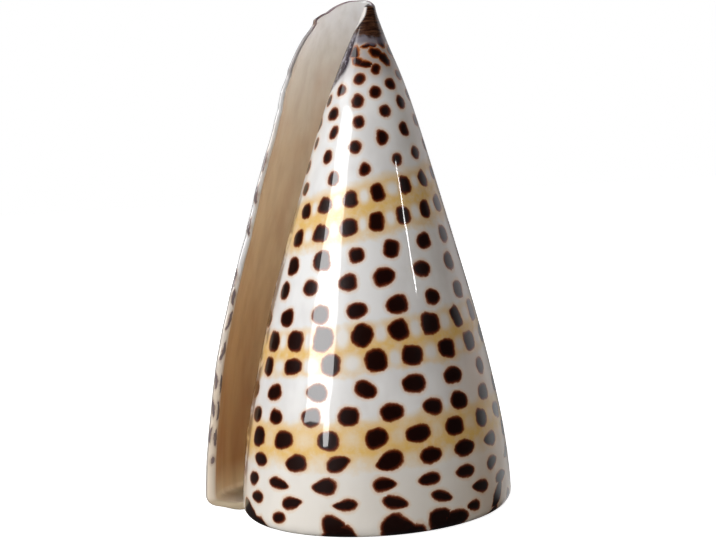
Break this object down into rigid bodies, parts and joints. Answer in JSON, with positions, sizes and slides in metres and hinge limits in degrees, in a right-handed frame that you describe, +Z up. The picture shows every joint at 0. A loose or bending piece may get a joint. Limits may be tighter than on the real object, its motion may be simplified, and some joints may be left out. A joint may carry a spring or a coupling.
{
  "type": "cone shell",
  "caption": "Tall spotted cone seashell standing on its flat spire, with a long open slot down its left side.",
  "frame": {"origin": "centre of the shell's footprint box, on the surface it stands on", "axes": "+Z up from the flat spire to the narrow end; the slot opens towards -Y at the -X side"},
  "size_m": [0.0682, 0.064, 0.1114],
  "materials": {
    "shell": "glossy white ground with rows of dark brown spots, three yellow-orange bands and a brown-stained narrow end"
  },
  "bodies": {
    "root": {"shell": "shell"}
  },
  "joints": []
}
